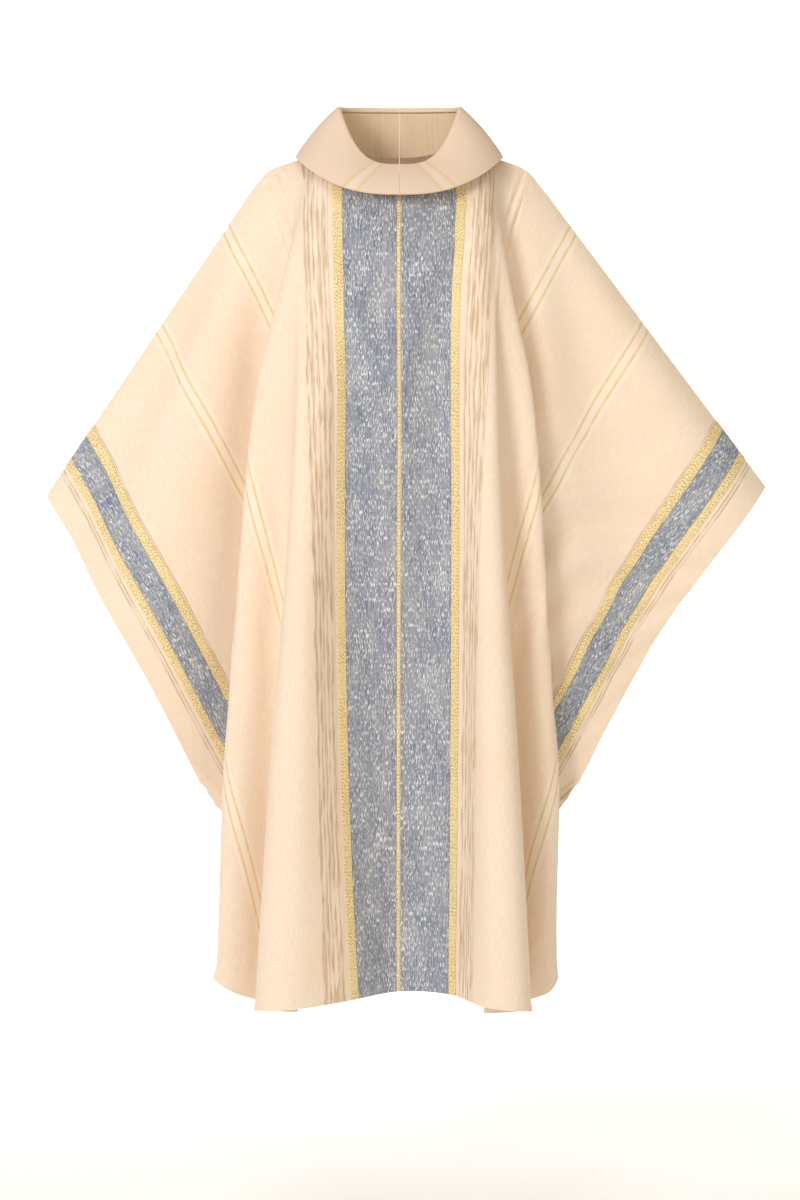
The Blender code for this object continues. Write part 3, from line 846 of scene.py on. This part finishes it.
# ---- cloth and bands --------------------------------------------------------
MESH_ROWS = 150
ROWS = [i / MESH_ROWS for i in range(MESH_ROWS + 1)]
COLUMN_STEP = 0.0075
BRAID_CROWN = 0.0004
HALF_EDGES = (SEAM_HALF, CENTRE_BRAID_HALF, CENTRE_BRAID_HALF + BAND_SPACE, BLUE_HALF, BRAID_IN,
              BRAID_OUT, IKAT_IN, IKAT_OUT)
SLEEVE_EDGES = (INNER_BRAID_IN, INNER_BRAID_IN + SLEEVE_BRAID, SLEEVE_BLUE_IN, SLEEVE_BLUE_IN + SLEEVE_BLUE,
                OUTER_BRAID_IN, OUTER_BRAID_IN + SLEEVE_BRAID, SLEEVE_AT)


def fine_params(low_u, high_u):
    """Knot positions of straight columns from low_u to high_u, with one at every band edge between."""
    edges = [u for u in HALF_EDGES + SLEEVE_EDGES if low_u - 1e-9 <= u <= high_u + 1e-9]
    found = [low_u]
    for a, b in zip(edges, edges[1:]):
        found += spaced(a, b, COLUMN_STEP)[1:]
    return [straight_param(u) for u in found]


CLOTH_PARAMS = (
    fine_params(SEAM_HALF, IKAT_OUT)
    + spaced(1.0, 2.0, 1 / 72)[1:]
    + spaced(2.0, 3.0, 1 / 52)[1:]
    + fine_params(INNER_BRAID_IN, SLEEVE_AT)[1:]
)
BANDS = (
    ("orphrey_blue", CENTRE_BRAID_HALF + BAND_SPACE, BLUE_HALF, "blue_band", "body"),
    ("orphrey_braid", BRAID_IN, BRAID_OUT, "gold_braid", "body"),
    ("orphrey_ikat", IKAT_IN, IKAT_OUT, "ikat_band", "body"),
    ("sleeve_inner_braid", INNER_BRAID_IN, INNER_BRAID_IN + SLEEVE_BRAID, "gold_braid", "sleeve"),
    ("sleeve_blue", SLEEVE_BLUE_IN, SLEEVE_BLUE_IN + SLEEVE_BLUE, "blue_band", "sleeve"),
    ("sleeve_outer_braid", OUTER_BRAID_IN, OUTER_BRAID_IN + SLEEVE_BRAID, "gold_braid", "sleeve"),
)
surface = Surface()


def add_half(face, hand):
    points, normals, flat = surface.patch(face, hand, CLOTH_PARAMS, ROWS)
    cloth = dress(shell(f"worn_{face}_cloth_{hand}", points, normals, flat, 0.0, CLOTH), "cream_cloth")
    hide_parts(f"{face}_panel_{hand}", f"{face}_wing_{hand}")
    follow_both(cloth, flat)
    for name, low, high, slot, home in BANDS:
        params = fine_params(low, high)
        points, normals, flat = surface.patch(face, hand, params, ROWS)
        crown = BRAID_CROWN if slot == "gold_braid" else 0.0
        node = f"{face}_{name}_{hand}"
        band = shell(f"worn_{node}", points, normals, flat, BAND_LIFT, BAND, crown)
        dress(band, slot)
        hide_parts(node)
        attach(band, "body" if home == "body" else f"{hand}_sleeve")


def add_centre(face):
    """The narrow braid over the centre seam, across both halves."""
    grids = []
    for hand in ("right", "left"):
        params = [straight_param(u) for u in (0.0, CENTRE_BRAID_HALF)]
        points, normals, flat = surface.patch(face, hand, params, ROWS)
        normals[:, :, 0] = 0
        grids.append((points, normals, flat))
    order = [(0, 1), (1, 0), (1, 1)]
    points = np.stack([grids[g][0][i] for g, i in order])
    normals = np.stack([grids[1][1][1]] * 3)
    flat = np.stack([grids[g][2][i] for g, i in order])
    braid = shell(f"worn_{face}_centre_braid", points, normals, flat, BAND_LIFT, BAND)
    dress(braid, "gold_braid")
    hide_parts(f"{face}_centre_braid")
    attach(braid, "body")
    return braid


for cloth_face in FACES:
    centre_braid = add_centre(cloth_face)
    add_half(cloth_face, "left")
    add_half(cloth_face, "right")

# ---- collar -----------------------------------------------------------------
RIM_HALF, RIM_FRONT_Y, RIM_BACK_Y = 0.093, 0.088, 0.072
RIM_FRONT_Z, RIM_BACK_Z = -0.008, 0.079
FLAP_HALF, FLAP_FRONT_Y, FLAP_BACK_Y = 0.157, 0.146, 0.134
FLAP_FRONT_Z, FLAP_SIDE_Z, FLAP_BACK_Z = -0.051, 0.004, -0.012
COLLAR_CLOTH = 0.0018
COLLAR_BULGE = 0.004
RIM_ROUND = 0.0035
COLLAR_END = 0.0009           # radians left open at the centre front and back, where the halves meet
# half width, reach to the front and back, and height at the front, side and back
SEAM_RING = (0.091, 0.080, 0.064, -0.030, 0.022, 0.004)
RIM_POWER, FLAP_POWER, SEAM_POWER = 3.3, 2.6, 2.0
STAND_INSET, STAND_BELOW = 0.0022, 0.004    # of the stand's upper edge from the rim's inner face
LINING_LIFT, LINING_CLOTH, STAND_CLOTH = -0.0014, 0.0010, 0.0014


def collar_curve(angle, half, front_y, back_y, front_z, side_z, back_z, power):
    """Point of a collar outline; angle 0 is the centre front and 180 degrees the centre back."""
    ahead = math.cos(angle) > 0
    reach = front_y if ahead else back_y
    low = front_z if ahead else back_z
    z = mix(low, side_z, abs(math.sin(angle)) ** power)
    return np.array([half * math.sin(angle), -reach * math.cos(angle), z])


def rim_point(angle):
    return collar_curve(angle, RIM_HALF, RIM_FRONT_Y, RIM_BACK_Y, RIM_FRONT_Z, RIM_BACK_Z, RIM_BACK_Z,
                        RIM_POWER)


def flap_point(angle):
    return collar_curve(angle, FLAP_HALF, FLAP_FRONT_Y, FLAP_BACK_Y, FLAP_FRONT_Z, FLAP_SIDE_Z, FLAP_BACK_Z,
                        FLAP_POWER)


def seam_ring(angle):
    return collar_curve(angle, *SEAM_RING, SEAM_POWER)


def collar_profile(angle, part):
    """Points down one section of the collar: its flap, its interlining, its inner stand or its tape."""
    rim, edge, seam = rim_point(angle), flap_point(angle), seam_ring(angle)
    away = np.array([math.sin(angle), -math.cos(angle), 0.6])
    away /= np.linalg.norm(away)
    out = np.array([math.sin(angle), -math.cos(angle), 0.0])
    up = np.array([0.0, 0.0, 1.0])
    found = []
    if part in ("flap", "interlining"):
        if part == "flap":
            centre = rim - up * RIM_ROUND
            found += [centre + RIM_ROUND * (math.cos(a) * out + math.sin(a) * up)
                      for a in np.radians([205, 180, 155, 130, 105, 80])]
        for t in spaced(0.035, 1.0, 0.07):
            point = rim + (edge - rim) * t
            found.append(point + away * COLLAR_BULGE * math.sin(math.pi * t) ** 0.8)
    else:
        top = rim - out * (RIM_ROUND + STAND_INSET) - up * (RIM_ROUND + STAND_BELOW)
        shares = spaced(1.0, 0.0, 0.17) if part == "stand" else (0.35, 0.2, 0.0)
        found += [seam + (top - seam) * t for t in shares]
    return found


COLLAR_PARTS = (
    ("collar_flap", "flap", 0.0, COLLAR_CLOTH, "collar_cloth"),
    ("collar_interlining", "interlining", LINING_LIFT, LINING_CLOTH, "lining"),
    ("collar_stand", "stand", 0.0, STAND_CLOTH, "lining"),
    ("neck_tape", "tape", LINING_LIFT, LINING_CLOTH, "lining"),
)


def add_collar(hand):
    side = 1 if hand == "left" else -1
    angles = [side * a for a in spaced(COLLAR_END, math.pi - COLLAR_END, math.radians(2.2))]
    for name, part, lift, thickness, slot in COLLAR_PARTS:
        points = np.array([collar_profile(angle, part) for angle in angles])
        lengths = np.linalg.norm(np.diff(points, axis=1), axis=-1)
        drop = np.concatenate([np.zeros((len(angles), 1)), np.cumsum(lengths, axis=1)], axis=1)
        flat = np.stack([np.broadcast_to(np.array(angles)[:, None], drop.shape), drop], -1)
        normal = np.cross(np.gradient(points, axis=0), np.gradient(points, axis=1))
        normal /= np.maximum(np.linalg.norm(normal, axis=-1, keepdims=True), 1e-12)
        outwards = (normal[..., :2] * points[..., :2]).sum() > 0
        if outwards == (part in ("stand", "tape")):
            normal = -normal
        piece = shell(f"worn_{name}_{hand}", points, normal, flat, lift, thickness)
        dress(piece, slot)
        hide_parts(f"{name}_{hand}")
        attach(piece, "body")


for wearer_hand in ("left", "right"):
    add_collar(wearer_hand)

# ---- floor, light and camera ------------------------------------------------
FLOOR_BELOW_HEM = 0.30
PAPER_HALF, PAPER_FRONT, PAPER_BACK = 10.0, -10.0, 9.0      # the wall stands behind every view's camera
PAPER_BEND, PAPER_HEIGHT = 1.4, 5.0
WORLD_COLOUR, WORLD_STRENGTH = (1.0, 0.88, 0.70, 1.0), 0.36
low, high = cad_bounds
floor_z = low[2] - FLOOR_BELOW_HEM


def plain_material(name, colour, roughness):
    made = bpy.data.materials.new(name)
    made.use_nodes = True
    shader = made.node_tree.nodes["Principled BSDF"]
    shader.inputs["Base Color"].default_value = (*colour, 1)
    shader.inputs["Roughness"].default_value = roughness
    return made


def add_backdrop():
    """A floor that curves up into a wall."""
    bend_at = PAPER_BACK - PAPER_BEND
    profile = [(PAPER_FRONT, 0.0), (bend_at, 0.0)]
    for a in np.radians(range(6, 91, 6)):
        profile.append((bend_at + PAPER_BEND * math.sin(a), PAPER_BEND * (1 - math.cos(a))))
    profile += [(PAPER_BACK, PAPER_HEIGHT)]
    vertices = [(x, y, floor_z + z) for y, z in profile for x in (-PAPER_HALF, PAPER_HALF)]
    faces = [(2 * i, 2 * i + 1, 2 * i + 3, 2 * i + 2) for i in range(len(profile) - 1)]
    mesh = bpy.data.meshes.new("backdrop")
    mesh.from_pydata(vertices, [], faces)
    mesh.shade_smooth()
    mesh.materials.append(plain_material("paper", (0.93, 0.93, 0.93), 0.9))
    backdrop = bpy.data.objects.new("backdrop", mesh)
    bpy.context.scene.collection.objects.link(backdrop)


def add_area(name, place, aim, size, power, colour):
    lamp = bpy.data.lights.new(name, "AREA")
    lamp.shape = "RECTANGLE"
    lamp.size, lamp.size_y = size
    lamp.energy = power
    lamp.color = colour
    made = bpy.data.objects.new(name, lamp)
    made.location = place
    direction = np.array(aim) - np.array(place)
    yaw = math.atan2(direction[0], -direction[1])
    flat_length = math.hypot(direction[0], direction[1])
    made.rotation_euler = (math.atan2(flat_length, -direction[2]), 0.0, yaw + math.pi)
    bpy.context.scene.collection.objects.link(made)


add_backdrop()
centre_z = (low[2] + high[2]) / 2
add_area("key", (-2.3, -4.0, 0.9), (0, 0, centre_z), (1.4, 1.4), 103, (1.0, 0.985, 0.985))
add_area("fill", (2.6, -3.7, -0.2), (0, 0, centre_z), (2.4, 3.0), 34, (1.0, 0.91, 0.78))
add_area("top", (-0.6, -1.5, 2.4), (0, 0, 0), (1.2, 1.2), 16, (1.0, 0.95, 0.9))
add_area("paper_light", (0, 3.2, 3.2), (0, 8.0, floor_z), (8.0, 2.0), 900, (1.0, 1.0, 1.0))
world = bpy.data.worlds.new("studio")
world.use_nodes = True
world.node_tree.nodes["Background"].inputs[0].default_value = WORLD_COLOUR
world.node_tree.nodes["Background"].inputs[1].default_value = WORLD_STRENGTH
bpy.context.scene.world = world
bpy.context.scene.view_settings.view_transform = "Standard"

CAMERA_DISTANCE = 5.0
CAMERA_HEIGHT = -0.05
CAMERA_SIDE = 0.001
CAMERA_DOWN = math.radians(7.1)
LENS, SENSOR_HEIGHT = 97.9, 36.0        # millimetres


def add_camera():
    data = bpy.data.cameras.new("camera")
    data.sensor_fit = "VERTICAL"
    data.sensor_height = SENSOR_HEIGHT
    data.lens = LENS
    made = bpy.data.objects.new("camera", data)
    made.location = (CAMERA_SIDE, -CAMERA_DISTANCE, CAMERA_HEIGHT)
    made.rotation_euler = (math.pi / 2 - CAMERA_DOWN, 0.0, 0.0)
    bpy.context.scene.collection.objects.link(made)
    bpy.context.scene.camera = made


add_camera()
